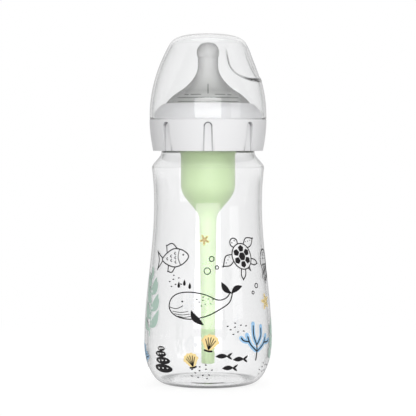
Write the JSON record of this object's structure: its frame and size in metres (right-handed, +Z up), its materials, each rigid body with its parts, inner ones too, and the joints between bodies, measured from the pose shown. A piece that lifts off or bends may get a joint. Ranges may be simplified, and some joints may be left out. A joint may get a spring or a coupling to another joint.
{
  "type": "baby bottle",
  "caption": "Waisted clear feeding bottle with an internal air vent and tube, a screw collar with grip grooves, a soft nipple and a clear domed travel cap.",
  "frame": {"origin": "on the standing plane, on the bottle's axis", "axes": "+Z up along the bottle's axis; the front of the print faces -Y"},
  "size_m": [0.0696, 0.0696, 0.1907],
  "materials": {
    "clear_bottle": "clear, glossy polypropylene",
    "clear_cap": "clear, glossy",
    "vent_plastic": "translucent light green, satin",
    "silicone": "translucent silicone, satin",
    "collar_plastic": "white, satin to gloss",
    "print_ink": "printed ink on the bottle, satin"
  },
  "bodies": {
    "bottle": {"bottle": "clear_bottle"},
    "vent_insert": {"vent_insert": "vent_plastic"},
    "vent_reservoir": {"vent_reservoir": "vent_plastic"},
    "nipple": {"nipple": "silicone"},
    "collar": {"collar": "collar_plastic"},
    "travel_cap": {"travel_cap": "clear_cap"}
  },
  "joints": [
    {"name": "vent_lift", "type": "slide", "parent": "bottle", "child": "vent_insert", "axis": [0, 0, 1], "range_m": [0, 0.14]},
    {"name": "reservoir_pull", "type": "slide", "parent": "vent_insert", "child": "vent_reservoir", "axis": [0, 0, -1], "range_m": [0, 0.0078]},
    {"name": "nipple_lift", "type": "slide", "parent": "vent_insert", "child": "nipple", "axis": [0, 0, 1], "range_m": [0, 0.0057]},
    {"name": "collar_turn", "type": "hinge", "parent": "nipple", "child": "collar", "pos_m": [0, 0, 0.14], "axis": [0, 0, 1], "range_deg": [0, 450]},
    {"name": "cap_pull", "type": "slide", "parent": "collar", "child": "travel_cap", "axis": [0, 0, 1], "range_m": [0, 0.06]}
  ],
  "couplings": [
    {"joint": "nipple_lift", "follows": "collar_turn", "m_per_rad": 0.0007162}
  ]
}
